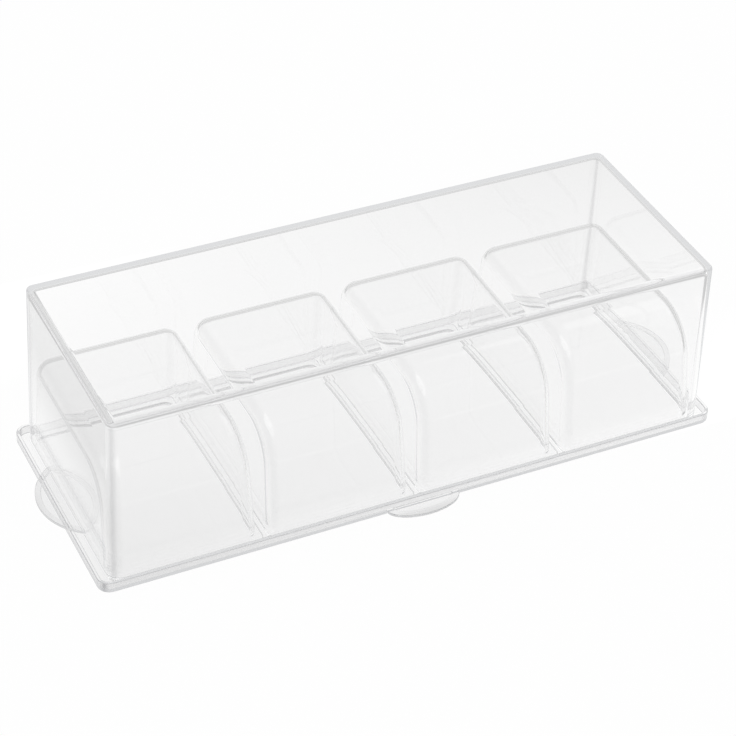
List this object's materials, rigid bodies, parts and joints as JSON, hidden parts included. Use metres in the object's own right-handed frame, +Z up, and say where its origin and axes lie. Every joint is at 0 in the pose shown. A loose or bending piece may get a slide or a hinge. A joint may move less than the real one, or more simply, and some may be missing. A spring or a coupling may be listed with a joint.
{
  "type": "garnish tray",
  "caption": "Clear bar garnish tray: deep ice tub with a round finger grip at each end, row of drop-in bins with flanges, and a shallow lid with a finger tab, standing upside down on its lid.",
  "frame": {"origin": "centre of the lid's flat underside, on which the tray rests as pictured", "axes": "+X along the row of bins, to the right; -Y towards the side with the front finger tab; +Z up from the lid to the tub's closed face"},
  "size_m": [0.44, 0.1706, 0.1196],
  "materials": {
    "tub_clear": "clear, polished moulding",
    "bin_clear": "clear, polished moulding",
    "lid_clear": "clear, polished moulding"
  },
  "bodies": {
    "lid": {"lid": "lid_clear"},
    "ice_tub": {"ice_tub": "tub_clear"},
    "garnish_bin_1": {"garnish_bin_1": "bin_clear"},
    "garnish_bin_2": {"garnish_bin_2": "bin_clear"},
    "garnish_bin_3": {"garnish_bin_3": "bin_clear"},
    "garnish_bin_4": {"garnish_bin_4": "bin_clear"}
  },
  "joints": [
    {"name": "tub_lift", "type": "slide", "parent": "lid", "child": "ice_tub", "axis": [0, 0, 1], "range_m": [0, 0.18]},
    {"name": "bin_1_lift", "type": "slide", "parent": "lid", "child": "garnish_bin_1", "axis": [0, 0, 1], "range_m": [0, 0.09]},
    {"name": "bin_2_lift", "type": "slide", "parent": "lid", "child": "garnish_bin_2", "axis": [0, 0, 1], "range_m": [0, 0.09]},
    {"name": "bin_3_lift", "type": "slide", "parent": "lid", "child": "garnish_bin_3", "axis": [0, 0, 1], "range_m": [0, 0.09]},
    {"name": "bin_4_lift", "type": "slide", "parent": "lid", "child": "garnish_bin_4", "axis": [0, 0, 1], "range_m": [0, 0.09]}
  ],
  "couplings": [
    {"joint": "bin_1_lift", "follows": "tub_lift", "ratio": 0.5},
    {"joint": "bin_2_lift", "follows": "tub_lift", "ratio": 0.5},
    {"joint": "bin_3_lift", "follows": "tub_lift", "ratio": 0.5},
    {"joint": "bin_4_lift", "follows": "tub_lift", "ratio": 0.5}
  ]
}
